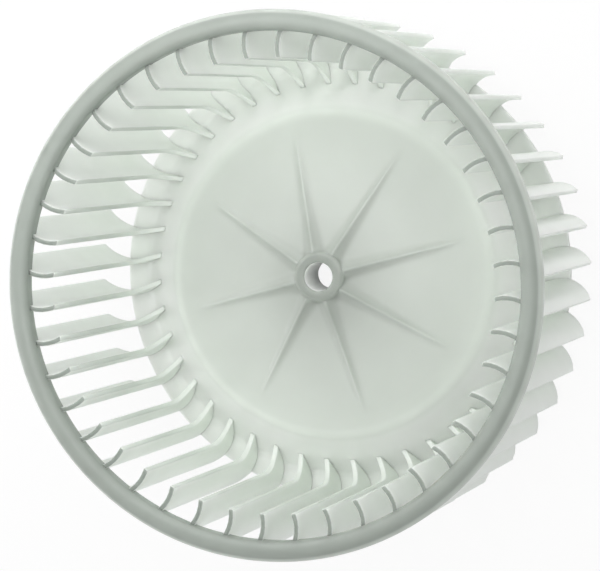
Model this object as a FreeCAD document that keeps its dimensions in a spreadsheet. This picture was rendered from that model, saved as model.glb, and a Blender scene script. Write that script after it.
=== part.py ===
import FreeCAD, Part
import math
import os
import Sketcher

# Forward-curved blower wheel moulded in one piece: an inlet ring, a cage of curved blades and a
# dished back plate with a hub. The axis is Z, the back end stands on Z = 0, the inlet ring is on top.
# All sizes are in millimetres.

SIZES = [
    # name, value, what it is
    ("wheel_diameter", "146", "over the inlet ring"),
    ("wheel_height", "85", "from the back end to the front of the ring"),
    ("ring_width", "5.7", "ring section across the radius"),
    ("ring_depth", "6.6", "ring section along the axis"),
    ("ring_round", "2.3", "rounding of the ring's front edges"),
    ("ring_back_chamfer", "1.8", "chamfer on the ring's back edges"),
    ("blade_count", "44", "blades round the wheel"),
    ("blade_wall", "1.3", "thickness of a blade"),
    ("blade_inner_diameter", "120.4", "circle through the inner edges"),
    ("blade_crest_diameter", "126.8", "circle where the blade runs along the radius"),
    ("blade_outer_gap", "0.9", "outer edge inside the ring's outside"),
    ("blade_camber", "10.3", "radius of the blade's curve"),
    ("blade_front_gap", "2.4", "front end behind the front of the ring"),
    ("blade_back_rise", "8.5", "outer corner of the blade's slanted back edge above the back end"),
    ("blade_tip_round", "1.5", "rounding of that corner"),
    ("root_height", "18.9", "where the inner edge starts to sweep inwards"),
    ("root_sweep", "12.2", "radius of that sweep"),
    ("root_depth", "11", "how far down the sweep runs"),
    ("root_diameter", "106", "circle through the blade's innermost end, in the plate"),
    ("plate_wall", "1.8", "thickness of the back plate"),
    ("rim_diameter", "131", "outside of the plate's flat rim"),
    ("skirt_diameter", "118", "where the skirt meets the flat rim"),
    ("crown_diameter", "92", "where the cone meets the skirt"),
    ("crown_height", "18", "height of that edge above the back end"),
    ("crown_round", "6", "rounding between cone and skirt"),
    ("skirt_round", "4", "rounding between skirt and rim"),
    ("cone_height", "30.6", "front of the cone at the hub"),
    ("hub_diameter", "14", "outside of the hub"),
    ("hub_front", "33.2", "height of the hub's front face"),
    ("hub_length", "15.8", "length of the hub along the axis"),
    ("hub_round", "1.2", "rounding of the hub's front edge"),
    ("hub_fillet", "1.3", "fillet at the foot of the hub, front and back"),
    ("bore_diameter", "8", "round bore for the motor shaft"),
    ("bore_chamfer", "0.5", "lead-in of the bore at both ends"),
    ("rib_count", "8", "ribs on the front of the cone"),
    ("rib_drop", "0.4", "top of a rib at the hub, below the hub's front face"),
    ("rib_top", "1.3", "width of a rib's top"),
    ("rib_foot", "6.4", "width of a rib's flared foot at the hub"),
    ("rib_end_foot", "4", "width of that foot where the rib runs out"),
    ("rib_reach", "42", "radius where a rib runs out"),
    ("rib_sink", "0.8", "how deep a rib's foot lies in the plate"),
]

DERIVED = [
    ("wheel_radius", "=wheel_diameter / 2"),
    ("ring_inner_radius", "=wheel_radius - ring_width"),
    ("ring_back", "=wheel_height - ring_depth"),
    ("blade_top", "=wheel_height - blade_front_gap"),
    ("crest_radius", "=blade_crest_diameter / 2"),
    ("inner_radius", "=blade_inner_diameter / 2"),
    ("outer_radius", "=wheel_radius - blade_outer_gap"),
    ("root_radius", "=root_diameter / 2"),
    ("inner_lean", "=(crest_radius - inner_radius) / blade_camber"),
    ("outer_lean", "=(outer_radius - crest_radius) / blade_camber"),
    ("convex_radius", "=blade_camber + blade_wall / 2"),
    ("hollow_radius", "=blade_camber - blade_wall / 2"),
    ("convex_inner_x", "=crest_radius - convex_radius * inner_lean"),
    ("convex_outer_x", "=crest_radius + convex_radius * outer_lean"),
    ("hollow_inner_x", "=crest_radius - hollow_radius * inner_lean"),
    ("hollow_outer_x", "=crest_radius + hollow_radius * outer_lean"),
    ("convex_root_x", "=root_radius + (convex_inner_x - inner_radius)"),
    ("hollow_root_x", "=root_radius + (hollow_inner_x - inner_radius)"),
    ("margin", "=2"),
    ("below", "=-margin"),
    ("beyond", "=wheel_radius + margin"),
    ("above", "=wheel_height + margin"),
    ("cut_radius", "=root_radius - margin"),
    ("sweep_centre", "=inner_radius - root_sweep"),
    ("sweep_end_radius", "=sweep_centre + sqrt(root_sweep ^ 2 - root_depth ^ 2)"),
    ("sweep_end_height", "=root_height - root_depth"),
    ("plate_middle", "=plate_wall / 2"),
    ("rim_radius", "=rim_diameter / 2"),
    ("back_slant", "=atan(blade_back_rise / (outer_radius - rim_radius))"),
    ("tip_length", "=blade_tip_round * tan((90 deg - back_slant) / 2)"),
    ("tip_centre", "=outer_radius - blade_tip_round"),
    ("tip_height", "=blade_back_rise + tip_length"),
    ("tip_end_radius", "=outer_radius - tip_length * cos(back_slant)"),
    ("skirt_radius", "=skirt_diameter / 2"),
    ("crown_radius", "=crown_diameter / 2"),
    ("hub_radius", "=hub_diameter / 2"),
    ("hub_back", "=hub_front - hub_length"),
    ("bore_radius", "=bore_diameter / 2"),
    ("cone_slope", "=(cone_height - crown_height) / (crown_radius - hub_radius)"),
    ("skirt_slope", "=(crown_height - plate_wall) / (skirt_radius - crown_radius)"),
    ("cone_angle", "=atan(cone_slope)"),
    ("skirt_angle", "=atan(skirt_slope)"),
    ("crown_offset", "=plate_wall / cos((skirt_angle - cone_angle) / 2)"),
    ("crown_back_radius", "=crown_radius - crown_offset * sin((skirt_angle + cone_angle) / 2)"),
    ("crown_back_height", "=crown_height - crown_offset * cos((skirt_angle + cone_angle) / 2)"),
    ("skirt_back_radius", "=skirt_radius - plate_wall * tan(skirt_angle / 2)"),
    ("cone_back_height", "=cone_height - plate_wall / cos(cone_angle)"),
    ("skirt_middle_radius", "=(skirt_radius + skirt_back_radius) / 2"),
    ("skirt_middle_height", "=plate_middle + (skirt_middle_radius - cut_radius) * skirt_slope"),
    ("skirt_flat_start", "=skirt_radius + margin"),
    ("crown_back_round", "=crown_round - plate_wall"),
    ("skirt_back_round", "=skirt_round + plate_wall"),
    ("rib_start", "=hub_radius - margin / 2"),
    ("start_base", "=cone_height + cone_slope * (hub_radius - rib_start) - rib_sink"),
    ("start_waist", "=start_base + rib_sink + (hub_front - rib_drop - start_base - rib_sink) / 3"),
    ("start_crest", "=hub_front - rib_drop"),
    ("start_foot_right", "=rib_foot / 2"),
    ("start_foot_left", "=-start_foot_right"),
    ("start_waist_right", "=rib_top / 2 + (rib_foot - rib_top) / 7"),
    ("start_waist_left", "=-start_waist_right"),
    ("end_base", "=cone_height - cone_slope * (rib_reach - hub_radius) - rib_sink"),
    ("end_waist", "=end_base + rib_sink / 2"),
    ("end_crest", "=end_base + rib_sink * 3 / 4"),
    ("end_foot_right", "=rib_end_foot / 2"),
    ("end_foot_left", "=-end_foot_right"),
    ("end_waist_right", "=rib_top / 2 + (rib_end_foot - rib_top) / 7"),
    ("end_waist_left", "=-end_waist_right"),
    ("crest_right", "=rib_top / 2"),
    ("crest_left", "=-crest_right"),
]


def make_sheet(doc):
    """Writes the driving sizes, then the values worked out from them, each under its own name."""
    sheet = doc.addObject("Spreadsheet::Sheet", "Sizes")
    row = 0
    for name, value, meaning in SIZES:
        row = row + 1
        sheet.set("A%d" % row, name)
        sheet.set("B%d" % row, value)
        sheet.set("C%d" % row, meaning)
        sheet.setAlias("B%d" % row, name)
    for name, formula in DERIVED:
        row = row + 1
        sheet.set("A%d" % row, name)
        sheet.set("B%d" % row, formula)
        sheet.setAlias("B%d" % row, name)
    doc.recompute()
    return sheet


def size(sheet, name):
    """The plain number under a name; angles come in degrees."""
    value = sheet.get(name)
    if hasattr(value, "Value"):
        value = value.Value
    return float(value)


def origin_part(body, role):
    """One of the body's own planes or axes."""
    for feature in body.Origin.OriginFeatures:
        if feature.Role == role:
            return feature
    raise ValueError("no %s in %s" % (role, body.Name))


def new_sketch(body, name, plane):
    """An empty sketch flat on one of the body's origin planes."""
    sketch = body.newObject("Sketcher::SketchObject", name)
    sketch.AttachmentSupport = [(origin_part(body, plane), "")]
    sketch.MapMode = "FlatFace"
    return sketch


def bind(sketch, kind, args, name):
    """Adds a size constraint and ties it to a named value."""
    sheet = sketch.Document.getObject("Sizes")
    index = sketch.addConstraint(Sketcher.Constraint(kind, *args, size(sheet, name)))
    sketch.setExpression("Constraints[%d]" % index, "Sizes." + name)


def place_point(sketch, curve, end, x_name, y_name):
    """Fixes a curve's end at two named distances from the sketch's origin."""
    bind(sketch, "DistanceX", (-1, 1, curve, end), x_name)
    bind(sketch, "DistanceY", (-1, 1, curve, end), y_name)


def draw_outline(sketch, corners):
    """Draws a closed outline of straight lines through corners given as pairs of names."""
    sheet = sketch.Document.getObject("Sizes")
    points = []
    for x_name, y_name in corners:
        y = 0.0 if y_name == "zero" else size(sheet, y_name)
        points.append(FreeCAD.Vector(size(sheet, x_name), y, 0))
    lines = []
    for start, finish in zip(points, points[1:] + points[:1]):
        lines.append(sketch.addGeometry(Part.LineSegment(start, finish), False))
    for line, following in zip(lines, lines[1:] + lines[:1]):
        sketch.addConstraint(Sketcher.Constraint("Coincident", line, 2, following, 1))
    for line, (x_name, y_name) in zip(lines, corners):
        bind(sketch, "DistanceX", (-1, 1, line, 1), x_name)
        if y_name == "zero":
            sketch.addConstraint(Sketcher.Constraint("PointOnObject", line, 1, -1))
        else:
            bind(sketch, "DistanceY", (-1, 1, line, 1), y_name)
    return lines


def turn(body, kind, name, sketch):
    """Turns a sketch of radius and height right round the axis, to add or to cut."""
    feature = body.newObject(kind, name)
    feature.Profile = sketch
    feature.ReferenceAxis = (sketch, ["V_Axis"])
    feature.Angle = 360
    body.Tip = feature
    body.Document.recompute()
    return feature


def repeat(body, name, original, count_name):
    """Repeats a feature evenly round the axis."""
    pattern = body.newObject("PartDesign::PolarPattern", name)
    pattern.Originals = [original]
    pattern.Axis = (origin_part(body, "Z_Axis"), [""])
    pattern.Angle = 360
    pattern.setExpression("Occurrences", "Sizes." + count_name)
    body.Tip = pattern
    body.Document.recompute()
    return pattern


def ease_edges(body, kind, name, base, rings, size_name):
    """Rounds or chamfers circular edges on the axis, each found by its radius and height."""
    chosen = []
    for number, edge in enumerate(base.Shape.Edges):
        if not isinstance(edge.Curve, Part.Circle):
            continue
        centre = edge.Curve.Center
        for radius, height in rings:
            off = abs(edge.Curve.Radius - radius) + abs(centre.z - height)
            if off < 0.001 and math.hypot(centre.x, centre.y) < 0.001:
                chosen.append("Edge%d" % (number + 1))
    eased = body.newObject("PartDesign::" + kind, name)
    eased.Base = (base, chosen)
    given = "Radius" if kind == "Fillet" else "Size"
    eased.setExpression(given, "Sizes." + size_name)
    body.Tip = eased
    body.Document.recompute()
    return eased


def make_ring(body):
    """The inlet ring: a bar section turned round the axis, rounded in front, chamfered behind."""
    sheet = body.Document.getObject("Sizes")
    section = new_sketch(body, "ring_section", "XZ_Plane")
    corners = [
        ("ring_inner_radius", "ring_back"),
        ("wheel_radius", "ring_back"),
        ("wheel_radius", "wheel_height"),
        ("ring_inner_radius", "wheel_height"),
    ]
    draw_outline(section, corners)
    ring = turn(body, "PartDesign::Revolution", "ring", section)
    rings = [(size(sheet, x_name), size(sheet, y_name)) for x_name, y_name in corners]
    behind = ease_edges(body, "Chamfer", "ring_back_edges", ring, rings[:2], "ring_back_chamfer")
    return ease_edges(body, "Fillet", "ring_rounding", behind, rings[2:], "ring_round")


def draw_blade_section(body):
    """The blade across its length: an arc that runs on straight, at the inner end, into its root."""
    sheet = body.Document.getObject("Sizes")
    sketch = new_sketch(body, "blade_section", "XY_Plane")
    centre = FreeCAD.Vector(size(sheet, "crest_radius"), -size(sheet, "blade_camber"), 0)
    inner_lean = math.asin(size(sheet, "inner_lean"))
    outer_lean = math.asin(size(sheet, "outer_lean"))
    arcs = []
    roots = []
    for side in ("convex", "hollow"):
        radius = size(sheet, side + "_radius")
        circle = Part.Circle(centre, FreeCAD.Vector(0, 0, 1), radius)
        start = math.pi / 2 - outer_lean
        finish = math.pi / 2 + inner_lean
        arc = sketch.addGeometry(Part.ArcOfCircle(circle, start, finish), False)
        joint = centre + FreeCAD.Vector(radius * math.cos(finish), radius * math.sin(finish), 0)
        run = joint.x - size(sheet, side + "_root_x")
        end = joint - FreeCAD.Vector(run, run * math.tan(inner_lean), 0)
        root = sketch.addGeometry(Part.LineSegment(joint, end), False)
        arcs.append(arc)
        roots.append(root)
    outer_end = sketch.addGeometry(
        Part.LineSegment(sketch.getPoint(arcs[0], 1), sketch.getPoint(arcs[1], 1)), False)
    inner_end = sketch.addGeometry(
        Part.LineSegment(sketch.getPoint(roots[0], 2), sketch.getPoint(roots[1], 2)), False)
    bind(sketch, "DistanceX", (-1, 1, arcs[0], 3), "crest_radius")
    bind(sketch, "DistanceY", (arcs[0], 3, -1, 1), "blade_camber")
    sketch.addConstraint(Sketcher.Constraint("Coincident", arcs[1], 3, arcs[0], 3))
    for side, arc, root in zip(("convex", "hollow"), arcs, roots):
        bind(sketch, "Radius", (arc,), side + "_radius")
        bind(sketch, "DistanceX", (-1, 1, arc, 1), side + "_outer_x")
        bind(sketch, "DistanceX", (-1, 1, arc, 2), side + "_inner_x")
        sketch.addConstraint(Sketcher.Constraint("Tangent", arc, 2, root, 1))
        bind(sketch, "DistanceX", (-1, 1, root, 2), side + "_root_x")
    for end_line, curves, point in ((outer_end, arcs, 1), (inner_end, roots, 2)):
        sketch.addConstraint(Sketcher.Constraint("Coincident", end_line, 1, curves[0], point))
        sketch.addConstraint(Sketcher.Constraint("Coincident", end_line, 2, curves[1], point))
    return sketch


def make_blades(body):
    """Straight blades from the back end up into the ring, all round."""
    blade = body.newObject("PartDesign::Pad", "blade")
    blade.Profile = draw_blade_section(body)
    blade.setExpression("Length", "Sizes.blade_top")
    body.Tip = blade
    body.Document.recompute()
    return repeat(body, "blades", blade, "blade_count")


def clear_blade_fronts(body):
    """Cuts the inner edges to one circle, with a sweep inwards down to the back plate."""
    sheet = body.Document.getObject("Sizes")
    sketch = new_sketch(body, "inner_edge_outline", "XZ_Plane")
    centre = FreeCAD.Vector(size(sheet, "sweep_centre"), size(sheet, "root_height"), 0)
    circle = Part.Circle(centre, FreeCAD.Vector(0, 0, 1), size(sheet, "root_sweep"))
    fall = math.asin(size(sheet, "root_depth") / size(sheet, "root_sweep"))
    arc = sketch.addGeometry(Part.ArcOfCircle(circle, -fall, 0), False)
    corners = [
        sketch.getPoint(arc, 2),
        FreeCAD.Vector(size(sheet, "inner_radius"), size(sheet, "above"), 0),
        FreeCAD.Vector(size(sheet, "cut_radius"), size(sheet, "above"), 0),
        FreeCAD.Vector(size(sheet, "cut_radius"), size(sheet, "sweep_end_height"), 0),
        sketch.getPoint(arc, 1),
    ]
    lines = []
    for start, finish in zip(corners, corners[1:]):
        lines.append(sketch.addGeometry(Part.LineSegment(start, finish), False))
    sketch.addConstraint(Sketcher.Constraint("Coincident", arc, 2, lines[0], 1))
    for line, following in zip(lines, lines[1:]):
        sketch.addConstraint(Sketcher.Constraint("Coincident", line, 2, following, 1))
    sketch.addConstraint(Sketcher.Constraint("Coincident", lines[-1], 2, arc, 1))
    place_point(sketch, arc, 3, "sweep_centre", "root_height")
    place_point(sketch, arc, 2, "inner_radius", "root_height")
    bind(sketch, "DistanceY", (-1, 1, arc, 1), "sweep_end_height")
    place_point(sketch, lines[1], 1, "inner_radius", "above")
    place_point(sketch, lines[2], 1, "cut_radius", "above")
    place_point(sketch, lines[3], 1, "cut_radius", "sweep_end_height")
    return turn(body, "PartDesign::Groove", "inner_edges", sketch)


def slant_blade_backs(body):
    """Cuts the back edge of every blade on a slant, from the rim up to a rounded outer corner."""
    sheet = body.Document.getObject("Sizes")
    sketch = new_sketch(body, "back_edge_outline", "XZ_Plane")
    centre = FreeCAD.Vector(size(sheet, "tip_centre"), size(sheet, "tip_height"), 0)
    circle = Part.Circle(centre, FreeCAD.Vector(0, 0, 1), size(sheet, "blade_tip_round"))
    start = math.radians(size(sheet, "back_slant")) - math.pi / 2
    arc = sketch.addGeometry(Part.ArcOfCircle(circle, start, 0), False)
    corners = [
        sketch.getPoint(arc, 2),
        FreeCAD.Vector(size(sheet, "beyond"), size(sheet, "tip_height"), 0),
        FreeCAD.Vector(size(sheet, "beyond"), size(sheet, "below"), 0),
        FreeCAD.Vector(size(sheet, "rim_radius"), size(sheet, "below"), 0),
        FreeCAD.Vector(size(sheet, "rim_radius"), 0, 0),
        sketch.getPoint(arc, 1),
    ]
    lines = []
    for begin, finish in zip(corners, corners[1:]):
        lines.append(sketch.addGeometry(Part.LineSegment(begin, finish), False))
    sketch.addConstraint(Sketcher.Constraint("Coincident", arc, 2, lines[0], 1))
    for line, following in zip(lines, lines[1:]):
        sketch.addConstraint(Sketcher.Constraint("Coincident", line, 2, following, 1))
    sketch.addConstraint(Sketcher.Constraint("Coincident", lines[-1], 2, arc, 1))
    place_point(sketch, arc, 3, "tip_centre", "tip_height")
    place_point(sketch, arc, 2, "outer_radius", "tip_height")
    bind(sketch, "DistanceX", (-1, 1, arc, 1), "tip_end_radius")
    place_point(sketch, lines[1], 1, "beyond", "tip_height")
    place_point(sketch, lines[2], 1, "beyond", "below")
    place_point(sketch, lines[3], 1, "rim_radius", "below")
    bind(sketch, "DistanceX", (-1, 1, lines[4], 1), "rim_radius")
    sketch.addConstraint(Sketcher.Constraint("PointOnObject", lines[4], 1, -1))
    return turn(body, "PartDesign::Groove", "back_edges", sketch)


def clear_behind_plate(body):
    """Ends the blades inside the plate's wall wherever the skirt rises from the back end."""
    sketch = new_sketch(body, "plate_backing_outline", "XZ_Plane")
    corners = [
        ("cut_radius", "below"),
        ("skirt_flat_start", "below"),
        ("skirt_flat_start", "plate_middle"),
        ("skirt_middle_radius", "plate_middle"),
        ("cut_radius", "skirt_middle_height"),
    ]
    draw_outline(sketch, corners)
    return turn(body, "PartDesign::Groove", "plate_backing", sketch)


def make_cage(doc):
    """The inlet ring with all its blades."""
    body = doc.addObject("PartDesign::Body", "cage")
    make_ring(body)
    make_blades(body)
    clear_blade_fronts(body)
    slant_blade_backs(body)
    clear_behind_plate(body)
    return body


def make_plate(body):
    """The dished back plate and its hub, one wall turned round the axis."""
    sheet = body.Document.getObject("Sizes")
    profile = new_sketch(body, "plate_profile", "XZ_Plane")
    corners = [
        ("bore_radius", "hub_front"),
        ("hub_radius", "hub_front"),
        ("hub_radius", "cone_height"),
        ("crown_radius", "crown_height"),
        ("skirt_radius", "plate_wall"),
        ("rim_radius", "plate_wall"),
        ("rim_radius", "zero"),
        ("skirt_back_radius", "zero"),
        ("crown_back_radius", "crown_back_height"),
        ("hub_radius", "cone_back_height"),
        ("hub_radius", "hub_back"),
        ("bore_radius", "hub_back"),
    ]
    draw_outline(profile, corners)
    last = turn(body, "PartDesign::Revolution", "plate", profile)
    roundings = [
        ("crown_rounding", "crown_radius", "crown_height", "crown_round"),
        ("crown_back_rounding", "crown_back_radius", "crown_back_height", "crown_back_round"),
        ("skirt_rounding", "skirt_radius", "plate_wall", "skirt_round"),
        ("skirt_back_rounding", "skirt_back_radius", "zero", "skirt_back_round"),
        ("hub_foot", "hub_radius", "cone_height", "hub_fillet"),
        ("hub_back_foot", "hub_radius", "cone_back_height", "hub_fillet"),
        ("hub_rounding", "hub_radius", "hub_front", "hub_round"),
    ]
    for name, radius_name, height_name, round_name in roundings:
        height = 0.0 if height_name == "zero" else size(sheet, height_name)
        rings = [(size(sheet, radius_name), height)]
        last = ease_edges(body, "Fillet", name, last, rings, round_name)
    return last


def chamfer_bore(body, base):
    """A small lead-in at both ends of the bore."""
    sheet = body.Document.getObject("Sizes")
    mouths = [(size(sheet, "bore_radius"), size(sheet, name)) for name in ("hub_front", "hub_back")]
    return ease_edges(body, "Chamfer", "bore_lead_in", base, mouths, "bore_chamfer")


def draw_rib_section(body, end, place_name):
    """A rib across its length: a narrow crest on sides that flare out to a broad foot."""
    sketch = new_sketch(body, "rib_at_" + end, "YZ_Plane")
    sketch.setExpression("AttachmentOffset.Base.z", "Sizes." + place_name)
    draw_outline(sketch, [
        (end + "_foot_left", end + "_base"),
        (end + "_foot_right", end + "_base"),
        (end + "_waist_right", end + "_waist"),
        ("crest_right", end + "_crest"),
        ("crest_left", end + "_crest"),
        (end + "_waist_left", end + "_waist"),
    ])
    return sketch


def make_ribs(body):
    """Ribs from the hub that sink into the cone's front before they reach its edge."""
    rib = body.newObject("PartDesign::AdditiveLoft", "rib")
    rib.Profile = draw_rib_section(body, "start", "rib_start")
    rib.Sections = [draw_rib_section(body, "end", "rib_reach")]
    rib.Ruled = True
    body.Tip = rib
    body.Document.recompute()
    return repeat(body, "ribs", rib, "rib_count")


def make_wheel(doc, cage):
    """The whole wheel: plate, hub and ribs joined to the cage as one moulding."""
    body = doc.addObject("PartDesign::Body", "blower_wheel")
    chamfer_bore(body, make_plate(body))
    make_ribs(body)
    joint = body.newObject("PartDesign::Boolean", "one_moulding")
    joint.Type = "Fuse"
    joint.setObjects([cage])
    body.Tip = joint
    doc.recompute()
    return body


def check(doc, wheel):
    """Stops the build on a failed feature, a bad solid or a moulding in more than one piece."""
    for feature in doc.Objects:
        if "Invalid" in feature.State or "Error" in feature.State:
            raise RuntimeError("%s is %s" % (feature.Name, feature.State))
        if hasattr(feature, "Shape") and feature.isDerivedFrom("PartDesign::Feature"):
            if feature.Shape.isNull() or not feature.Shape.isValid():
                raise RuntimeError("%s has a bad shape" % feature.Name)
    if len(wheel.Shape.Solids) != 1:
        raise RuntimeError("the wheel is %d solids" % len(wheel.Shape.Solids))


def main():
    doc = FreeCAD.newDocument("blower_wheel")
    make_sheet(doc)
    cage = make_cage(doc)
    wheel = make_wheel(doc, cage)
    wheel.Label = "blower_wheel"
    wheel.Placement = FreeCAD.Placement()
    doc.recompute()
    check(doc, wheel)
    os.makedirs("parts", exist_ok=True)
    wheel.Shape.exportStep("parts/blower_wheel.step")


main()
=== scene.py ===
"""Looks of a forward-curved blower wheel moulded in natural polypropylene.

The wheel is one moulding. Here it is shown as the inlet ring, the cage of blades and the dished
back plate with its hub and ribs, three surfaces that meet inside each other's walls. Lengths are
given in millimetres on the classes and reach the meshes in metres.
"""

import logging
import math
from dataclasses import dataclass, field
from enum import Enum

import bpy
import numpy as np
from mathutils import Matrix, Vector
from numpy.typing import NDArray

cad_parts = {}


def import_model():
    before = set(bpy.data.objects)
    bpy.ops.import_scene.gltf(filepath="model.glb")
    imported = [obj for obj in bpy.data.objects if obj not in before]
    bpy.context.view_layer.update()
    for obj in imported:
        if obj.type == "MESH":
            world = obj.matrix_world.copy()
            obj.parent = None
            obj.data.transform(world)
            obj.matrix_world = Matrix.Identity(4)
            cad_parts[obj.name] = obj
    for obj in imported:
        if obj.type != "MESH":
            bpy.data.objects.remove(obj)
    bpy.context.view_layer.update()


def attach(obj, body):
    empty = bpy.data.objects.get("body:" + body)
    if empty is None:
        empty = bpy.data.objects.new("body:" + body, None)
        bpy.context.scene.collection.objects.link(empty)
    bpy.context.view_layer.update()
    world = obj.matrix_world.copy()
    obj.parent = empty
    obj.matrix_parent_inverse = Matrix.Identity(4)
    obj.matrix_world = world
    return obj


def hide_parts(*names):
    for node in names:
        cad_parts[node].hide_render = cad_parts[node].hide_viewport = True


MM = 0.001
CAD_NODE = "blower_wheel"
BODY = "root"
# Share of the deep colour at each vertex: partly how thick the plastic is, partly painted glow and painted
# shade.
DEPTH_AND_SHADE = "plastic_depth_and_painted_shade"
REACH = "light_reach"
WHITE = (1.0, 1.0, 1.0, 1.0)

# Input sockets of a Mix node that mixes colours, and its output socket.
MIX_FACTOR, MIX_FIRST, MIX_SECOND = "0", "6", "7"
MIX_RESULT = 2

# Input sockets of a Mix Shader node, and of a Math node that takes two values.
SHADER_FACTOR, SHADER_FIRST, SHADER_SECOND = "0", "1", "2"
MATH_FIRST, MATH_SECOND = "0", "1"

# A noise texture stays between these values nearly everywhere.
NOISE_LOW, NOISE_HIGH = 0.3, 0.7

Array = NDArray[np.float64]
Faces = NDArray[np.int64]
log = logging.getLogger("blower_wheel")


def linear(code: str) -> tuple[float, float, float, float]:
    """Turns an sRGB hex colour into linear values.

    The sRGB curve is a straight line in the darkest tones, up to 0.04045, and a power of 2.4 above.

    Args:
        code: six hex digits, with or without a leading hash.

    Returns:
        Red, green, blue and an alpha of 1.
    """
    digits = code.lstrip("#")
    channels = [int(digits[i : i + 2], 16) / 255 for i in (0, 2, 4)]
    values = [c / 12.92 if c <= 0.04045 else ((c + 0.055) / 1.055) ** 2.4 for c in channels]
    return (values[0], values[1], values[2], 1.0)


def grid_faces(rows: int, columns: int, wrap_rows: bool, wrap_columns: bool) -> Faces:
    """Four-sided faces of a grid whose vertices run column by column within each row.

    A vertex's number is its row times the number of columns, plus its column.

    Args:
        rows: number of rows of vertices.
        columns: vertices in a row.
        wrap_rows: joins the last row to the first.
        wrap_columns: joins the last column to the first.

    Returns:
        One line of four vertex numbers a face.
    """
    row = np.arange(rows if wrap_rows else rows - 1)[:, None]
    column = np.arange(columns if wrap_columns else columns - 1)[None, :]
    next_row = (row + 1) % rows
    next_column = (column + 1) % columns
    corners = (
        row * columns + column,
        row * columns + next_column,
        next_row * columns + next_column,
        next_row * columns + column,
    )
    shape = (row.shape[0], column.shape[1])
    return np.stack([np.broadcast_to(corner, shape) for corner in corners], -1).reshape(-1, 4)


def add_mesh(
    name: str,
    points: Array,
    faces: Faces,
    depth: Array | None = None,
    reach: Array | None = None,
) -> bpy.types.Object:
    """Puts an object at the origin whose mesh has these points, in metres.

    Args:
        name: the piece's name.
        points: one line of x, y, z a vertex.
        faces: one line of four vertex numbers a face.
        depth: how much plastic lies behind each vertex, with painted glow and painted shade added, from
        0 for a thin wall to 1.
        reach: how far light spreads under each vertex, from 0 for the finish's own reach to 1 for its
            core reach.

    Returns:
        The new object, smooth shaded, linked to the scene.
    """
    mesh = bpy.data.meshes.new(name)
    mesh.vertices.add(len(points))
    mesh.vertices.foreach_set("co", points.astype(np.float32).ravel())
    mesh.loops.add(faces.size)
    mesh.loops.foreach_set("vertex_index", faces.astype(np.int32).ravel())
    mesh.polygons.add(len(faces))
    mesh.polygons.foreach_set("loop_start", np.arange(0, faces.size, 4, dtype=np.int32))
    mesh.update(calc_edges=True)
    mesh.validate()
    mesh.polygons.foreach_set("use_smooth", np.ones(len(mesh.polygons), dtype=bool))
    for label, values in ((DEPTH_AND_SHADE, depth), (REACH, reach)):
        if values is not None:
            layer = mesh.attributes.new(label, "FLOAT", "POINT").data
            layer.foreach_set("value", values.astype(np.float32).ravel())
    thing = bpy.data.objects.new(name, mesh)
    bpy.context.scene.collection.objects.link(thing)
    return thing


@dataclass(frozen=True)
class Corner:
    """A corner of a turned profile.

    Attributes:
        radius: distance from the axis, in mm.
        height: height above the back end, in mm.
        rounding: radius of the arc that rounds the corner, in mm.
        steps: points on that arc.
    """

    radius: float
    height: float
    rounding: float
    steps: int = 7


def rounded_profile(corners: list[Corner], step: float) -> Array:
    """Carries a closed line through the corners, each rounded by an arc that touches both sides.

    The arc's centre lies on the corner's bisector, at rounding over the sine of half the angle, and
    a straight run is cut into as many equal pieces as the step goes into it.

    Args:
        corners: the corners in order.
        step: length that a straight run is divided by, in mm.

    Returns:
        One line of radius and height a point.
    """
    count = len(corners)
    at = np.array([[c.radius, c.height] for c in corners])
    arcs: list[Array] = []
    for i, corner in enumerate(corners):
        here = at[i]
        back = at[i - 1] - here
        ahead = at[(i + 1) % count] - here
        back = back / np.linalg.norm(back)
        ahead = ahead / np.linalg.norm(ahead)
        half = 0.5 * math.acos(float(np.clip(back @ ahead, -1, 1)))
        middle = (back + ahead) / np.linalg.norm(back + ahead)
        centre = here + middle * corner.rounding / math.sin(half)
        first = here + back * corner.rounding / math.tan(half) - centre
        last = here + ahead * corner.rounding / math.tan(half) - centre
        turn = math.atan2(first[0] * last[1] - first[1] * last[0], float(first @ last))
        angle = np.linspace(0, turn, corner.steps)[:, None]
        side = np.array([-first[1], first[0]])
        arcs.append(centre + first * np.cos(angle) + side * np.sin(angle))
    points: list[Array] = []
    for arc, following in zip(arcs, arcs[1:] + arcs[:1]):
        run = following[0] - arc[-1]
        pieces = max(1, int(np.linalg.norm(run) / step))
        share = np.arange(1, pieces)[:, None] / pieces
        points.append(arc)
        points.append(arc[-1] + run * share)
    return np.concatenate(points)


def add_node(
    tree: bpy.types.NodeTree,
    kind: str,
    settings: dict[str, object] | None = None,
    inputs: dict[str, object] | None = None,
) -> bpy.types.Node:
    """Adds a node, sets its properties, and fills or links its inputs.

    Args:
        tree: the node tree of a material or of the world.
        kind: the node's type name.
        settings: property names and values.
        inputs: socket names, or their numbers as text, with a value or with another node's output
            socket to link.

    Returns:
        The new node.
    """
    node = tree.nodes.new(kind)
    for name, value in (settings or {}).items():
        setattr(node, name, value)
    for name, value in (inputs or {}).items():
        socket = node.inputs[int(name)] if name.isdigit() else node.inputs[name]
        if isinstance(value, bpy.types.NodeSocket):
            tree.links.new(value, socket)
        else:
            socket.default_value = value
    return node


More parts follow.
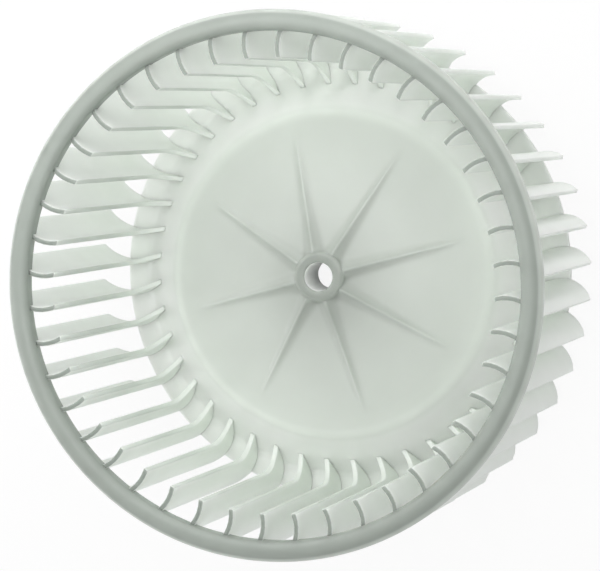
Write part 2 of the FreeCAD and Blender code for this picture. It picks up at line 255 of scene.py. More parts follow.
@dataclass(frozen=True)
class NaturalPolypropylene:
    """Natural polypropylene, injection moulded: milky, faintly green, and greyer where it is thick.

    The colours say how a thin wall looks pale and lit from within, and a wall seen end-on a darker
    grey, because the light has more plastic to cross; the pale colour is also a painted glow for
    light shining through thin walls, and the grey also painted shade where walls get little light.

    Attributes:
        name: the material's name.
        thin: colour of a thin wall, with a painted glow for light shining through it.
        thick_and_shaded: colour where the plastic is thick or seen end-on, and painted shade where a wall
            gets little light.
        reach_mm: how far light spreads inside the plastic.
        core_reach_mm: how far it spreads where the mesh's reach is 1, as in the thick hub and at the
            blades' roots, or none where it is the same all over the piece.
        glow: share of light that goes into the wall.
        spread: how far red, green and blue light spread, as shares of the reach.
        refraction: refractive index of polypropylene.
        roughness: roughness of the moulded surface.
        shinier: how much less rough its shiniest patches are.
        duller: how much rougher its dullest patches are.
        patch_mm: size of those patches.
        cloud_mm: size of the pale clouds left where the melt flowed.
        cloud_dark: brightness of the darkest clouds, as a share.
        cloud_pale: brightness of the palest clouds, as a share.
        grain_mm: size of the fine unevenness of the mould's surface.
        grain_height_mm: height of that unevenness.
        grain_strength: how strongly it bends the shading.
    """

    name: str
    thin: str
    thick_and_shaded: str
    reach_mm: float
    core_reach_mm: float | None = None
    glow: float = 1.0
    spread: tuple[float, float, float] = (1.0, 1.02, 1.0)
    refraction: float = 1.49
    roughness: float = 0.42
    shinier: float = 0.05
    duller: float = 0.06
    patch_mm: float = 9.0
    cloud_mm: float = 26.0
    cloud_dark: float = 0.965
    cloud_pale: float = 1.025
    grain_mm: float = 0.7
    grain_height_mm: float = 0.03
    grain_strength: float = 0.12

    def build(self) -> bpy.types.Material:
        """Makes the material.

        Returns:
            The material, with clouds in its colour and a fine grain in its bump.
        """
        material = bpy.data.materials.new(self.name)
        material.use_nodes = True
        tree = material.node_tree
        tree.nodes.clear()
        place = add_node(tree, "ShaderNodeTexCoord").outputs["Object"]
        # Mixes the thin and thick_and_shaded colours by the mesh attribute: plastic thickness, painted
        # glow and painted shade.
        depth = add_node(tree, "ShaderNodeAttribute", {"attribute_name": DEPTH_AND_SHADE})
        base = add_node(
            tree,
            "ShaderNodeMix",
            {"data_type": "RGBA"},
            {
                MIX_FACTOR: depth.outputs["Fac"],
                MIX_FIRST: linear(self.thin),
                MIX_SECOND: linear(self.thick_and_shaded),
            },
        )
        clouds = add_node(
            tree,
            "ShaderNodeTexNoise",
            {},
            {"Vector": place, "Scale": 1 / (self.cloud_mm * MM), "Detail": 3.0, "Roughness": 0.5},
        )
        cloud_range = add_node(
            tree,
            "ShaderNodeMapRange",
            {},
            {
                "Value": clouds.outputs["Fac"],
                "From Min": NOISE_LOW,
                "From Max": NOISE_HIGH,
                "To Min": self.cloud_dark,
                "To Max": self.cloud_pale,
            },
        )
        tinted = add_node(
            tree,
            "ShaderNodeMix",
            {"data_type": "RGBA", "blend_type": "MULTIPLY"},
            {
                MIX_FACTOR: 1.0,
                MIX_FIRST: base.outputs[MIX_RESULT],
                MIX_SECOND: cloud_range.outputs["Result"],
            },
        )
        rough_noise = add_node(
            tree,
            "ShaderNodeTexNoise",
            {},
            {"Vector": place, "Scale": 1 / (self.patch_mm * MM), "Detail": 4.0, "Roughness": 0.6},
        )
        rough_range = add_node(
            tree,
            "ShaderNodeMapRange",
            {},
            {
                "Value": rough_noise.outputs["Fac"],
                "From Min": NOISE_LOW,
                "From Max": NOISE_HIGH,
                "To Min": self.roughness - self.shinier,
                "To Max": self.roughness + self.duller,
            },
        )
        grain = add_node(
            tree,
            "ShaderNodeTexNoise",
            {},
            {"Vector": place, "Scale": 1 / (self.grain_mm * MM), "Detail": 2.0, "Roughness": 0.5},
        )
        bump = add_node(
            tree,
            "ShaderNodeBump",
            {},
            {
                "Height": grain.outputs["Fac"],
                "Strength": self.grain_strength,
                "Distance": self.grain_height_mm * MM,
            },
        )
        reach: float | bpy.types.NodeSocket = self.reach_mm * MM
        if self.core_reach_mm is not None:
            core = add_node(tree, "ShaderNodeAttribute", {"attribute_name": REACH})
            reach = add_node(
                tree,
                "ShaderNodeMapRange",
                {},
                {
                    "Value": core.outputs["Fac"],
                    "To Min": self.reach_mm * MM,
                    "To Max": self.core_reach_mm * MM,
                },
            ).outputs["Result"]
        surface = add_node(
            tree,
            "ShaderNodeBsdfPrincipled",
            {"subsurface_method": "RANDOM_WALK"},
            {
                "Base Color": tinted.outputs[MIX_RESULT],
                "Roughness": rough_range.outputs["Result"],
                "IOR": self.refraction,
                "Normal": bump.outputs["Normal"],
                "Subsurface Weight": self.glow,
                "Subsurface Radius": self.spread,
                "Subsurface Scale": reach,
            },
        )
        add_node(tree, "ShaderNodeOutputMaterial", {}, {"Surface": surface.outputs["BSDF"]})
        return material


@dataclass
class InletRing:
    """The ring at the inlet: a bar rounded in front and chamfered behind, turned round the axis.

    Attributes:
        outer: outside radius, in mm.
        width: section across the radius, in mm.
        depth: section along the axis, in mm.
        height: height of its front, in mm.
        outer_round: rounding of the front edge on the outside, in mm.
        inner_round: rounding of the front edge on the inside, in mm.
        back_chamfer: chamfer of the back edges, in mm.
        edge: small rounding of the moulded edges behind, in mm.
        step: length that the section's straight runs are divided by, in mm.
        turns: steps round the axis.
        pale_band: width of the paler band at the outside, in mm, partly the thinner rounded edge and
            partly a painted highlight.
        pale_band_depth: depth at the outside, from 0 for a thin wall to 1.
        finish: the plastic.
    """

    outer: float = 73.0
    width: float = 5.7
    depth: float = 6.6
    height: float = 85.0
    outer_round: float = 3.4
    inner_round: float = 2.0
    back_chamfer: float = 1.8
    edge: float = 0.5
    step: float = 1.2
    turns: int = 352
    pale_band: float = 1.2
    pale_band_depth: float = 0.6
    # The ring's colours are darker than the plate's, though it is the same plastic: painted shade for a
    # ring whose front gets little light.
    finish: NaturalPolypropylene = NaturalPolypropylene(
        "moulded_polypropylene_ring", "#D4DAD3", "#848A84", reach_mm=20.0
    )

    def profile(self) -> Array:
        """The ring's closed section, its corners taken anticlockwise.

        Returns:
            One line of radius and height a point, in mm.
        """
        inner = self.outer - self.width
        back = self.height - self.depth
        cut = self.back_chamfer
        return rounded_profile(
            [
                Corner(inner + cut, back, self.edge),
                Corner(self.outer - cut, back, self.edge),
                Corner(self.outer, back + cut, self.edge),
                Corner(self.outer, self.height, self.outer_round, steps=14),
                Corner(inner, self.height, self.inner_round, steps=9),
                Corner(inner, back + cut, self.edge),
            ],
            self.step,
        )

    def build(self) -> bpy.types.Object:
        """Turns the section right round: radius times the cosine and sine of the angle, height kept.

        Returns:
            The ring.
        """
        section = self.profile()
        angle = np.linspace(0, 2 * math.pi, self.turns, endpoint=False)[:, None]
        x = section[:, 0] * np.cos(angle)
        y = section[:, 0] * np.sin(angle)
        z = np.broadcast_to(section[:, 1], x.shape)
        points = np.stack([x, y, z], -1).reshape(-1, 3) * MM
        faces = grid_faces(self.turns, len(section), True, True)[:, ::-1]
        # Paler within pale_band of the outside: partly the thinner rounded edge, partly a painted
        # highlight.
        depth = np.clip((self.outer - section[:, 0]) / self.pale_band, self.pale_band_depth, 1)
        ring = add_mesh("inlet_ring", points, faces, np.broadcast_to(depth, x.shape))
        ring.data.materials.append(self.finish.build())
        return ring


@dataclass(frozen=True)
class BladeShading:
    """How much plastic the eye looks through on a blade, and how far light spreads along it.

    Depths go from 0 for a thin wall to 1. They are partly how much plastic the eye looks through and
    partly painted shade that grows from the root towards the front, where less light shines through.

    Attributes:
        inner_edge: depths round the inner edge, from its middle to the broad side.
        outer_edge: depths round the outer edge, from the broad side to its middle.
        edge_from: height at which the edges start to look darker than the broad sides, partly as plastic
        seen end-on and partly as painted shade, in mm.
        edge_run: height over which they reach those depths, in mm.
        face: painted shade on the broad sides at the front.
        face_from: height at which that painted shade starts to grow, in mm.
        reach_until: height down to which light spreads as far as the finish's own reach, in mm.
        reach_run: height over which that changes to the core reach, downwards, in mm.
    """

    inner_edge: tuple[float, ...] = (0.45, 0.45, 0.4, 0.15)
    outer_edge: tuple[float, ...] = (0.1, 0.25, 0.3, 0.3)
    edge_from: float = 12.0
    edge_run: float = 32.0
    face: float = 0.1
    face_from: float = 30.0
    reach_until: float = 70.0
    reach_run: float = 44.0


@dataclass
class BladeCage:
    """All the blades: each is a curved strip that runs from the ring to the back plate.

    Attributes:
        count: blades round the wheel.
        wall: thickness, in mm.
        crest: radius at which a blade runs along the radius, in mm.
        camber: radius of the blade's curve, in mm.
        inner: radius of the inner edges, in mm.
        outer: reach of the blade's middle line along its crest direction, in mm.
        front: height of the front ends, in mm.
        foot: height at which a blade starts, inside the rim's wall, in mm.
        sweep_height: height at which the inner edge starts to sweep inwards, in mm.
        sweep: radius of that sweep, in mm.
        rim: radius where the slanted back edge starts, in mm.
        rise: height of the outer back corner, in mm.
        tip_round: rounding of that corner, in mm.
        skirt_radius: radius where the skirt's middle surface meets the rim's, in mm.
        skirt_height: height of that place, in mm.
        skirt_slope: rise of the skirt for each mm inwards.
        skirt_top: height up to which the inner edge follows the skirt, in mm.
        root: smallest radius of the inner edge there, in mm.
        edge: rounding of the moulded edges, in mm.
        edge_turns: places of the points round such an edge, in degrees.
        front_turns: places of the sections round the front end's edge, in degrees.
        across: places of the points across a broad side, as shares of its width.
        tip_levels: sections from the foot to just above the outer back corner.
        tip_clearance: how far above that corner the last of them is, in mm.
        sweep_levels: sections from there to the top of the sweep.
        front_levels: sections from there to the front.
        uncut: how far outside the blade its back edge's limit is put where nothing cuts it, in mm.
        shading: the depth of plastic with painted shade, and the spread of light over a blade.
        finish: the plastic.
    """

    count: int = 44
    wall: float = 1.3
    crest: float = 63.4
    camber: float = 10.3
    inner: float = 60.2
    outer: float = 72.1
    front: float = 82.6
    foot: float = 0.6
    sweep_height: float = 18.9
    sweep: float = 12.2
    rim: float = 65.5
    rise: float = 6.8
    tip_round: float = 2.8
    skirt_radius: float = 58.7
    skirt_height: float = 0.9
    skirt_slope: float = 1.246
    skirt_top: float = 8.2
    root: float = 53.2
    edge: float = 0.28
    edge_turns: tuple[float, ...] = (0.0, 30.0, 60.0, 90.0)
    front_turns: tuple[float, ...] = (30.0, 60.0, 85.0)
    across: tuple[float, ...] = (0.05, 0.15, 0.27, 0.39, 0.5, 0.61, 0.73, 0.85, 0.95)
    tip_levels: int = 13
    tip_clearance: float = 2.5
    sweep_levels: int = 9
    front_levels: int = 7
    uncut: float = 5.0
    shading: BladeShading = BladeShading()
    # The blades' colours are a little darker than the plate's, though it is the same plastic: painted
    # shade.
    finish: NaturalPolypropylene = NaturalPolypropylene(
        "moulded_polypropylene_blades", "#EFF5EE", "#7B827B", reach_mm=6.0, core_reach_mm=2.0
    )

    def levels(self) -> tuple[Array, Array]:
        """The heights at which a blade is cut across, close together at its ends.

        Returns:
            The heights, and how far each section is drawn in to round the front end.
        """
        tip = self.rise + self.tip_clearance - self.foot
        lower = self.foot + tip * np.linspace(0, 1, self.tip_levels)
        middle = np.linspace(lower[-1], self.sweep_height, self.sweep_levels)[1:]
        upper = np.linspace(self.sweep_height, self.front - self.edge, self.front_levels)[1:]
        angle = np.radians(self.front_turns)
        top = self.front - self.edge + self.edge * np.sin(angle)
        heights = np.concatenate([lower, middle, upper, top])
        full = np.zeros(len(heights) - len(angle))
        inset = np.concatenate([full, self.edge * (1 - np.cos(angle))])
        return heights, inset

    def inner_radius(self, height: Array) -> Array:
        """Radius of the inner edge: straight above, a circular sweep below, then the skirt's wall.

        Args:
            height: heights in mm.

        Returns:
            Radii in mm.
        """
        fall = np.clip(self.sweep_height - height, 0, self.sweep)
        sweep = self.inner - self.sweep + np.sqrt(self.sweep**2 - fall**2)
        skirt = self.skirt_radius - (height - self.skirt_height) / self.skirt_slope
        return np.where(height > self.skirt_top, sweep, np.maximum(skirt, self.root))

    def outer_radius(self, height: Array) -> Array:
        """Radius that the slanted back edge allows, its outer corner rounded by an arc.

        Args:
            height: heights in mm.

        Returns:
            Radii in mm, which lie outside the blade above the corner.
        """
        slant = math.atan2(self.rise, self.outer - self.rim)
        length = self.tip_round * math.tan((math.pi / 2 - slant) / 2)
        line = self.rim + height / math.tan(slant)
        top = self.rise + length
        below = np.clip(top - height, 0, self.tip_round)
        arc = self.outer - self.tip_round + np.sqrt(self.tip_round**2 - below**2)
        on_line = height < self.rise - length * math.sin(slant)
        return np.where(on_line, line, np.where(height < top, arc, self.outer + self.uncut))

    def lean(self) -> float:
        """Angle on the blade's arc, from its crest, at which the straight inner part starts."""
        return -math.asin((self.crest - self.inner) / self.camber)

    def along(self, radius: Array, side: Array) -> Array:
        """Distance along the blade's middle line at which a line offset to one side meets a radius.

        On the arc, the point at angle t from the crest is (crest + q sin t, q cos t - camber), with q
        the camber plus the offset, so its distance from the axis fixes t by one arcsine. Inside the
        inner circle the blade runs on straight, and the distance follows from a right triangle.

        Args:
            radius: distance from the axis, in mm.
            side: offset from the middle line, in mm, positive on the convex side.

        Returns:
            Distances along the middle line from the crest, in mm, positive outwards.
        """
        lean = self.lean()
        q = self.camber + side
        span = math.hypot(self.crest, self.camber)
        skew = math.atan2(self.camber, self.crest)
        sine = (radius**2 - span**2 - q**2) / (2 * q * span)
        arc = self.camber * (skew + np.arcsin(np.clip(sine, -1, 1)))
        joint_x = self.crest + q * math.sin(lean)
        joint_y = q * math.cos(lean) - self.camber
        dot = joint_x * math.cos(lean) - joint_y * math.sin(lean)
        reach = dot - np.sqrt(np.maximum(dot**2 - joint_x**2 - joint_y**2 + radius**2, 0))
        straight = self.camber * lean - reach
        return np.where(arc < self.camber * lean, straight, arc)

    def place(self, distance: Array, side: Array) -> tuple[Array, Array]:
        """The point at a distance along the middle line, offset to one side.

        It is the point on the arc that the text of along describes, moved on along the arc's tangent
        where the blade runs on straight.

        Args:
            distance: distance along the middle line from the crest, in mm.
            side: offset from the middle line, in mm, positive on the convex side.

        Returns:
            The points' x and y, in mm.
        """
        lean = self.lean()
        angle = np.maximum(distance / self.camber, lean)
        run = np.minimum(distance - self.camber * lean, 0)
        q = self.camber + side
        x = self.crest + q * np.sin(angle) + run * math.cos(lean)
        y = q * np.cos(angle) - self.camber - run * math.sin(lean)
        return x, y

    def loops(self, heights: Array, inset: Array) -> tuple[Array, Array]:
        """The loop round a blade's section at each height, out on one broad side and back on the other.

        On each side the points go round a quarter circle at the inner edge, across the broad side at
        fixed shares of its width, and round a quarter circle at the outer edge.

        Args:
            heights: heights in mm, one a row.
            inset: how far the section is drawn in there, in mm, one a row.

        Returns:
            Distances along the middle line and offsets from it, in mm, one loop a row.
        """
        turn = np.radians(self.edge_turns)
        end = self.edge * (1 - np.sin(turn))
        lift = self.edge * (1 - np.cos(turn))
        half = self.wall / 2 - inset
        limit = self.camber * math.asin((self.outer - self.crest) / self.camber)
        share = np.concatenate([np.zeros(len(turn)), self.across, np.ones(len(turn))])[None, :]
        offset = np.concatenate([end[::-1], np.zeros(len(self.across)), -end])[None, :]
        distances: list[Array] = []
        sides: list[Array] = []
        for sign, order in ((1.0, 1), (-1.0, -1)):
            side_start = sign * (half - lift[None, ::-1])
            side_flat = np.broadcast_to(sign * half, (len(heights), len(self.across)))
            side_finish = sign * (half - lift[None, :])
            side = np.concatenate([side_start, side_flat, side_finish], axis=1)
            first = self.along(self.inner_radius(heights) + 0 * side, side) + inset
            last = np.minimum(self.along(self.outer_radius(heights) + 0 * side, side), limit) - inset
            distance = first + (last - first) * share + offset
            distances.append(distance[:, ::order])
            sides.append(side[:, ::order])
        return np.concatenate(distances, axis=1), np.concatenate(sides, axis=1)

    def depth(self, heights: Array) -> Array:
        """Depth of plastic round each loop: the greatest of what edges, broad sides and front end give.

        Each of the three grows in a straight line with height, from 0 to its full value, so the blade
        is painted darker towards the front: painted shade, besides plastic seen end-on at edges and end.

        Args:
            heights: heights in mm, one a row.

        Returns:
            Depths from 0 to 1, one loop a row.
        """
        shading = self.shading
        edge = np.concatenate([shading.inner_edge, np.zeros(len(self.across)), shading.outer_edge])
        edges = np.concatenate([edge, edge[::-1]])[None, :]
        edges = edges * np.clip((heights - shading.edge_from) / shading.edge_run, 0, 1)
        growth = (heights - shading.face_from) / (self.front - shading.face_from)
        face = shading.face * np.clip(growth, 0, 1)
        ends = np.clip((heights - self.front + self.edge) / self.edge, 0, 1)
        return np.maximum(np.maximum(edges, face), ends)

    def one(self) -> tuple[Array, Faces, Array, Array]:
        """One blade: a loop round its section at each height, closed by strips at both ends.

        Returns:
            Points in mm, faces, the depth of plastic behind each point with painted shade added, and how
            far light spreads there, which changes towards the root to what it is in the plate.
        """
        levels, inset = self.levels()
        heights = levels[:, None]
        x, y = self.place(*self.loops(heights, inset[:, None]))
        z = np.broadcast_to(heights, x.shape)
        rows, columns = x.shape
        points = np.stack([x, y, z], -1).reshape(-1, 3)
        walls = grid_faces(rows, columns, False, True)[:, ::-1]
        k = np.arange(columns // 2 - 1)
        bottom = np.stack([k, k + 1, columns - 2 - k, columns - 1 - k], -1)
        top = bottom[:, ::-1] + (rows - 1) * columns
        faces = np.concatenate([walls, bottom, top])
        reach = np.clip((self.shading.reach_until - heights) / self.shading.reach_run, 0, 1)
        return points, faces, self.depth(heights).ravel(), np.broadcast_to(reach, x.shape).ravel()

    def build(self) -> bpy.types.Object:
        """Repeats the blade evenly round the axis by turning all its points at once.

        Returns:
            The cage of blades.
        """
        points, faces, depth, reach = self.one()
        angle = 2 * math.pi * np.arange(self.count)[:, None] / self.count
        x = points[:, 0] * np.cos(angle) - points[:, 1] * np.sin(angle)
        y = points[:, 0] * np.sin(angle) + points[:, 1] * np.cos(angle)
        z = np.broadcast_to(points[:, 2], x.shape)
        everything = np.stack([x, y, z], -1).reshape(-1, 3) * MM
        shift = np.arange(self.count)[:, None, None] * len(points)
        cage = add_mesh(
            "blade_cage",
            everything,
            (faces[None] + shift).reshape(-1, 4),
            np.tile(depth, self.count),
            np.tile(reach, self.count),
        )
        cage.data.materials.append(self.finish.build())
        return cage


@dataclass(frozen=True)
class PlateShading:
    """How much plastic the eye looks through on the plate, and how far light spreads in its hub.

    Depths go from 0 for a thin wall to 1. They are partly how much plastic the eye looks through and
    partly painted light: the skirt and the bore's wall are painted pale as a glow for light shining
    through them, the hub's foot is painted lighter against the shade of its fillet, and the darkening
    towards the hub and along the ribs' crests is partly painted shade.

    Attributes:
        depths: pairs of a radius in mm and the depth there, from the hub's wall outwards.
        bore_glow_band: distance from the bore's wall within which the plastic is painted pale, as a glow
            for light coming through the bore, in mm.
        crest: depth that a rib's crest adds, partly for thicker plastic and partly as painted shade.
        crest_width: distance from the crest at which half of that is left, in mm.
        crest_fade: length over which it fades out at the rib's end, in mm.
        reaches: pairs of a radius in mm, outside the bore, and the share of the core reach there.
    """

    depths: tuple[tuple[float, float], ...] = (
        (6.0, 0.92),
        (7.5, 0.62),
        (9.0, 0.62),
        (11.0, 0.61),
        (14.0, 0.57),
        (18.0, 0.51),
        (24.0, 0.45),
        (40.0, 0.38),
        (44.0, 0.34),
        (48.0, 0.02),
    )
    bore_glow_band: float = 0.05
    crest: float = 0.12
    crest_width: float = 0.9
    crest_fade: float = 15.0
    reaches: tuple[tuple[float, float], ...] = ((6.5, 0.6), (9.0, 0.0))


@dataclass
class BackPlate:
    """The dished back plate: flat rim, skirt, cone and hub in one wall, with ribs on the cone.

    Attributes:
        wall: thickness of the wall, in mm.
        rim: outside radius of the flat rim, in mm.
        rim_round: rounding of the rim's edges, in mm.
        skirt: radius where the skirt meets the rim, in mm.
        skirt_round: rounding of that fold in front, in mm.
        crown: radius where the cone meets the skirt, in mm.
        crown_height: height of that edge, in mm.
        crown_round: rounding of that fold in front, in mm.
        crown_depth: how far below that edge the cone's front still counts, in mm.
        cone_height: front of the cone at the hub, in mm.
        hub: outside radius of the hub, in mm.
        hub_front: height of the hub's front face, in mm.
        hub_length: length of the hub, in mm.
        hub_round: rounding of the hub's front edge, in mm.
        hub_back_round: rounding of its back edge, in mm.
        hub_foot: rounding where the cone meets the hub, in mm.
        hub_slack: how far inside the hub's wall the cone's front still counts, in mm.
        bore: radius of the bore, in mm.
        bore_round: rounding of the bore's ends, in mm.
        step: length that the section's straight runs are divided by, in mm.
        ribs: ribs on the front of the cone.
        rib_reach: radius where a rib runs out, in mm.
        rib_height: height of a rib above the cone at the hub, in mm.
        rib_drop: how far the ribs' crests stay below the hub's front, in mm.
        rib_slope: steepness of a rib's sides.
        rib_crest_round: rounding of its crest, in mm.
        rib_foot_round: rounding at its foot, in mm.
        rib_end: height of a rib below which it runs out into the cone, in mm.
        rib_steps: steps round the axis for each rib.
        rib_ease: power that draws those steps together near the rib.
        shading: the depth of plastic with painted glow and shade, and the spread of light over
        the plate.
        finish: the plastic.
    """

    wall: float = 1.8
    rim: float = 65.5
    rim_round: float = 0.3
    skirt: float = 59.0
    skirt_round: float = 4.0
    crown: float = 46.0
    crown_height: float = 18.0
    crown_round: float = 6.0
    crown_depth: float = 2.0
    cone_height: float = 30.6
    hub: float = 7.0
    hub_front: float = 33.2
    hub_length: float = 15.8
    hub_round: float = 1.2
    hub_back_round: float = 0.3
    hub_foot: float = 1.3
    hub_slack: float = 0.01
    bore: float = 4.0
    bore_round: float = 0.5
    step: float = 0.9
    ribs: int = 8
    rib_reach: float = 41.0
    rib_height: float = 2.1
    rib_drop: float = 0.4
    rib_slope: float = 0.95
    rib_crest_round: float = 0.4
    rib_foot_round: float = 0.6
    rib_end: float = 0.3
    rib_steps: int = 44
    rib_ease: float = 2.2
    shading: PlateShading = PlateShading()
    finish: NaturalPolypropylene = NaturalPolypropylene(
        "moulded_polypropylene_plate", "#F4F9F3", "#80867F", reach_mm=2.0, core_reach_mm=12.0
    )

    def profile(self) -> Array:
        """The closed section of plate and hub, with the roundings that the mould gives it.

        The wall's back runs beside its front, so each of its corners lies on the bisector of the
        corner in front, and its rounding differs from the one in front by the wall's thickness.

        Returns:
            One line of radius and height a point, in mm.
        """
        cone = math.atan((self.cone_height - self.crown_height) / (self.crown - self.hub))
        skirt = math.atan((self.crown_height - self.wall) / (self.skirt - self.crown))
        offset = self.wall / math.cos((skirt - cone) / 2)
        crown_back = self.crown - offset * math.sin((skirt + cone) / 2)
        crown_back_height = self.crown_height - offset * math.cos((skirt + cone) / 2)
        skirt_back = self.skirt - self.wall * math.tan(skirt / 2)
        cone_back = self.cone_height - self.wall / math.cos(cone)
        hub_back = self.hub_front - self.hub_length
        return rounded_profile(
            [
                Corner(self.bore, self.hub_front, self.bore_round, steps=4),
                Corner(self.bore, hub_back, self.bore_round, steps=4),
                Corner(self.hub, hub_back, self.hub_back_round, steps=4),
                Corner(self.hub, cone_back, self.hub_foot),
                Corner(crown_back, crown_back_height, self.crown_round - self.wall, steps=9),
                Corner(skirt_back, 0.0, self.skirt_round + self.wall, steps=9),
                Corner(self.rim, 0.0, self.rim_round, steps=4),
                Corner(self.rim, self.wall, self.rim_round, steps=4),
                Corner(self.skirt, self.wall, self.skirt_round, steps=9),
                Corner(self.crown, self.crown_height, self.crown_round, steps=11),
                Corner(self.hub, self.cone_height, self.hub_foot),
                Corner(self.hub, self.hub_front, self.hub_round, steps=8),
            ],
            self.step,
        )

    def angles(self) -> Array:
        """Steps round the axis, drawn together near each rib by a power of the share of the pitch.

        Returns:
            Angles in radians.
        """
        share = (np.arange(self.rib_steps) + 0.5) / self.rib_steps - 0.5
        eased = np.sign(share) * 0.5 * (2 * np.abs(share)) ** self.rib_ease
        start = 2 * math.pi * np.arange(self.ribs)[:, None] / self.ribs
        return (start + eased[None, :] * 2 * math.pi / self.ribs).reshape(-1)

    def rib_lift(self, radius: Array, angle: Array) -> Array:
        """How far a rib lifts the cone's front.

        The height falls in a straight line from the hub to the rib's reach. Across the rib the sides
        fall away from the crest at one slope, and a hyperbola rounds both the crest and the foot.

        Args:
            radius: distance from the axis, in mm.
            angle: angle from the nearest rib, in radians.

        Returns:
            The lift in mm.
        """
        full = self.rib_height * np.clip((self.rib_reach - radius) / (self.rib_reach - self.hub), 0, 1)
        beside = np.hypot(radius * np.sin(angle), self.rib_crest_round) - self.rib_crest_round
        above = full - self.rib_slope * beside
        fade = np.clip(full / self.rib_end, 0, 1)
        return 0.5 * (above + np.hypot(above, self.rib_foot_round)) * fade

    def rib_crest(self, radius: Array, angle: Array) -> Array:
        """How near a place is to a rib's crest, fading out at the rib's reach.

        It is 1 over 1 plus the cube of the distance from the crest, counted in crest widths. It darkens
        the crest, partly for its thicker plastic and partly as painted shade.

        Args:
            radius: distance from the axis, in mm.
            angle: angle from the nearest rib, in radians.

        Returns:
            Values from 1 on the crest to 0 far from it.
        """
        beside = np.abs(radius * np.sin(angle)) / self.shading.crest_width
        fade = np.clip((self.rib_reach - radius) / self.shading.crest_fade, 0, 1)
        return fade / (1 + beside**3)

    def on_front(self, radius: Array, height: Array) -> NDArray[np.bool_]:
        """Tells which places lie on the front of the cone, where the ribs stand.

        Args:
            radius: distance from the axis, in mm.
            height: height above the back end, in mm.

        Returns:
            True there and False elsewhere.
        """
        slope = (self.cone_height - self.crown_height) / (self.crown - self.hub)
        cone = self.cone_height - slope * (radius - self.hub)
        above_middle = height > cone - 0.5 * self.wall
        outside_hub = radius > self.hub - self.hub_slack
        return above_middle & outside_hub & (height > self.crown_height - self.crown_depth)

    def build(self) -> bpy.types.Object:
        """Turns the section round the axis and lifts the cone's front along the ribs.

        Returns:
            The plate with its hub and ribs.
        """
        section = self.profile()
        angle = self.angles()[:, None]
        pitch = 2 * math.pi / self.ribs
        nearest = (angle + pitch / 2) % pitch - pitch / 2
        radius = np.broadcast_to(section[:, 0], (len(angle), len(section)))
        height = np.broadcast_to(section[:, 1], radius.shape)
        front = self.on_front(radius, height)
        top = self.hub_front - self.rib_drop
        room = np.clip((top - height) / (top - self.cone_height), 0, 1)
        height = height + np.where(front, self.rib_lift(radius, nearest), 0.0) * room
        points = np.stack([radius * np.cos(angle), radius * np.sin(angle), height], -1).reshape(-1, 3) * MM
        faces = grid_faces(len(angle), len(section), True, True)[:, ::-1]
        shading = self.shading
        # Painted glow on the skirt and the bore's wall, painted shade towards the hub and on the ribs'
        # crests, besides the plastic's depth.
        at, depths = np.array(shading.depths).T
        glow_band = self.bore + shading.bore_glow_band
        depth = np.interp(radius, [self.bore, glow_band, *at], [0, depths[0], *depths])
        depth = depth + shading.crest * np.where(front, self.rib_crest(radius, nearest), 0.0)
        at, reaches = np.array(shading.reaches).T
        reach = np.interp(radius, [self.bore, *at], [1, *reaches])
        plate = add_mesh("back_plate", points, faces, depth, reach)
        plate.data.materials.append(self.finish.build())
        return plate


class LampSide(Enum):
    """The sides that the soft lamps stand on, as directions from the wheel."""

    FRONT = (0.087, 0.0, 0.996)
    FRONT_RIGHT = (0.423, 0.0, 0.906)
    TOP_RIGHT = (0.489, 0.847, 0.208)
    TOP_LEFT = (-0.17, 0.963, 0.208)
    LEFT = (-0.978, 0.0, 0.208)
    LOWER_LEFT = (-0.489, -0.847, 0.208)
    HIGH_LOWER_LEFT = (-0.542, -0.542, 0.643)
    RIGHT = (0.978, 0.0, 0.208)
    CLOSE_TOP = (0.0, 0.6, 0.8)
    CLOSE_TOP_LEFT = (-0.414, 0.448, 0.793)
    CLOSE_TOP_RIGHT = (0.378, 0.481, 0.79)


@dataclass(frozen=True)
class SoftLamp:
    """One square soft lamp.

    Attributes:
        watts: its power.
        width: its width, in metres.
        distance: how far from the wheel it hangs, in metres.
    """

    watts: float
    width: float = 0.5
    distance: float = 1.1


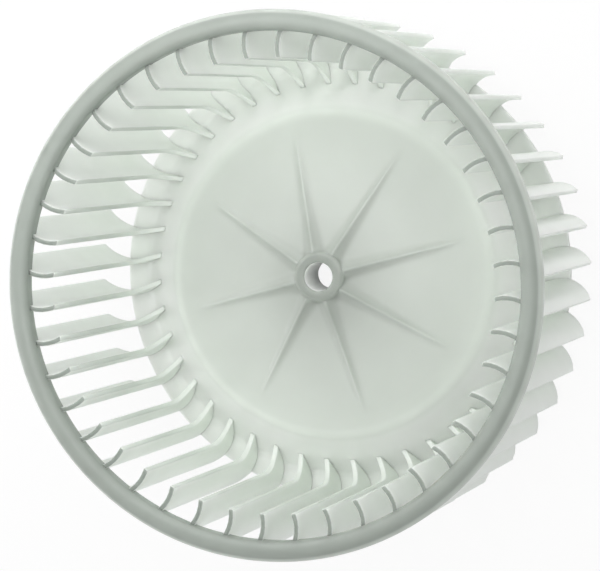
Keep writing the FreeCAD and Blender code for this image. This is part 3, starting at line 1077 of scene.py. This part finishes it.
@dataclass
class Studio:
    """A plain pale floor, soft lamps and the camera at the photograph's view.

    Attributes:
        floor_width: side of the square floor, in metres.
        paper: share of light that the floor throws back.
        floor_white: share of plain white in what the camera sees of the floor; the rest is its paper,
            with the wheel's shadow.
        lamps: the lamp on each side.
        aim: the place in the wheel that the lamps face, in metres.
        sky: strength of the even light from all round.
        eye: the camera's place, in metres.
        right: the camera's right-hand direction.
        up: the camera's upward direction.
        lens: focal length, in mm.
        sensor: width of the sensor, in mm.
        nearest: nearest distance that the camera shows, in metres.
        farthest: farthest distance that it shows, in metres.
    """

    floor_width: float = 6.0
    paper: float = 0.86
    floor_white: float = 0.9
    lamps: dict[LampSide, SoftLamp] = field(
        default_factory=lambda: {
            LampSide.FRONT: SoftLamp(4.05),
            LampSide.FRONT_RIGHT: SoftLamp(0.6),
            LampSide.TOP_RIGHT: SoftLamp(2.9),
            LampSide.TOP_LEFT: SoftLamp(1.05),
            LampSide.LEFT: SoftLamp(2.2),
            LampSide.LOWER_LEFT: SoftLamp(0.7),
            LampSide.HIGH_LOWER_LEFT: SoftLamp(0.9),
            LampSide.RIGHT: SoftLamp(0.9),
            LampSide.CLOSE_TOP: SoftLamp(0.24, width=0.15, distance=0.3),
            LampSide.CLOSE_TOP_LEFT: SoftLamp(0.175, width=0.15, distance=0.29),
            LampSide.CLOSE_TOP_RIGHT: SoftLamp(0.075, width=0.15, distance=0.29),
        }
    )
    aim: tuple[float, float, float] = (0.0, 0.0, 0.04)
    sky: float = 0.29
    eye: tuple[float, float, float] = (0.2315, -0.00973, 0.88444)
    right: tuple[float, float, float] = (0.933623, -0.243701, -0.2626)
    up: tuple[float, float, float] = (0.237309, 0.969801, -0.0563)
    lens: float = 190.203
    sensor: float = 36.0
    nearest: float = 0.01
    farthest: float = 20.0

    def add_camera(self) -> None:
        """Stands the camera where the photograph was taken from."""
        data = bpy.data.cameras.new("camera")
        data.lens = self.lens
        data.sensor_width = self.sensor
        data.sensor_fit = "HORIZONTAL"
        data.clip_start = self.nearest
        data.clip_end = self.farthest
        camera = bpy.data.objects.new("camera", data)
        right = Vector(self.right).normalized()
        up = Vector(self.up)
        up = (up - right * up.dot(right)).normalized()
        back = right.cross(up)
        turn = Matrix((right, up, back)).transposed()
        camera.matrix_world = Matrix.Translation(Vector(self.eye)) @ turn.to_4x4()
        bpy.context.scene.collection.objects.link(camera)
        bpy.context.scene.camera = camera

    def add_lamp(self, side: LampSide, kind: SoftLamp) -> None:
        """Hangs one square soft lamp that faces the wheel.

        Args:
            side: where it hangs.
            kind: its power, width and distance.
        """
        data = bpy.data.lights.new("lamp_" + side.name.lower(), "AREA")
        data.energy = kind.watts
        data.size = kind.width
        lamp = bpy.data.objects.new(data.name, data)
        direction = Vector(side.value).normalized()
        lamp.location = Vector(self.aim) + direction * kind.distance
        lamp.rotation_euler = direction.to_track_quat("Z", "Y").to_euler()
        lamp.visible_camera = False
        bpy.context.scene.collection.objects.link(lamp)

    def seen_white(self, tree: bpy.types.NodeTree) -> bpy.types.NodeSocket:
        """Tells rays that the camera sees, at first hand or in a reflection, from rays that light.

        Args:
            tree: the node tree that needs it.

        Returns:
            An output that is 1 for those rays and 0 for all others.
        """
        path = add_node(tree, "ShaderNodeLightPath")
        either = add_node(
            tree,
            "ShaderNodeMath",
            {"operation": "MAXIMUM"},
            {MATH_FIRST: path.outputs["Is Camera Ray"], MATH_SECOND: path.outputs["Is Glossy Ray"]},
        )
        return either.outputs[0]

    def add_sky(self) -> None:
        """Fills the world with even light; the camera and reflections see it white."""
        world = bpy.data.worlds.new("studio_light")
        world.use_nodes = True
        tree = world.node_tree
        tree.nodes.clear()
        light = add_node(tree, "ShaderNodeBackground", {}, {"Color": WHITE, "Strength": self.sky})
        white = add_node(tree, "ShaderNodeBackground", {}, {"Color": WHITE, "Strength": 1.0})
        seen = add_node(
            tree,
            "ShaderNodeMixShader",
            {},
            {
                SHADER_FACTOR: self.seen_white(tree),
                SHADER_FIRST: light.outputs[0],
                SHADER_SECOND: white.outputs[0],
            },
        )
        add_node(tree, "ShaderNodeOutputWorld", {}, {"Surface": seen.outputs[0]})
        bpy.context.scene.world = world

    def add_floor(self) -> None:
        """Lays the floor: matt white, and near white to the camera apart from the wheel's soft shadow."""
        half = self.floor_width / 2
        corners = np.array([[-half, -half, 0], [half, -half, 0], [half, half, 0], [-half, half, 0]])
        floor = add_mesh("floor", corners, np.array([[0, 1, 2, 3]]))
        material = bpy.data.materials.new("matt_white_paper")
        material.use_nodes = True
        tree = material.node_tree
        tree.nodes.clear()
        grey = (self.paper, self.paper, self.paper, 1)
        paper = add_node(tree, "ShaderNodeBsdfDiffuse", {}, {"Color": grey})
        white = add_node(tree, "ShaderNodeEmission", {}, {"Color": WHITE, "Strength": 1.0})
        share = add_node(
            tree,
            "ShaderNodeMath",
            {"operation": "MULTIPLY"},
            {MATH_FIRST: self.seen_white(tree), MATH_SECOND: self.floor_white},
        )
        seen = add_node(
            tree,
            "ShaderNodeMixShader",
            {},
            {
                SHADER_FACTOR: share.outputs[0],
                SHADER_FIRST: paper.outputs[0],
                SHADER_SECOND: white.outputs[0],
            },
        )
        add_node(tree, "ShaderNodeOutputMaterial", {}, {"Surface": seen.outputs[0]})
        floor.data.materials.append(material)

    def build(self) -> None:
        """Sets up view, camera, lamps, sky and floor."""
        bpy.context.scene.view_settings.view_transform = "Standard"
        self.add_camera()
        self.add_sky()
        self.add_floor()
        for side, kind in self.lamps.items():
            self.add_lamp(side, kind)


def main() -> None:
    """Builds the wheel and its studio."""
    logging.basicConfig(level=logging.INFO, format="%(message)s")
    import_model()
    for part in (InletRing(), BladeCage(), BackPlate()):
        piece = part.build()
        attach(piece, BODY)
        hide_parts(CAD_NODE)
        log.info("%s: %d faces", piece.name, len(piece.data.polygons))
    Studio().build()


if __name__ == "__main__":
    main()
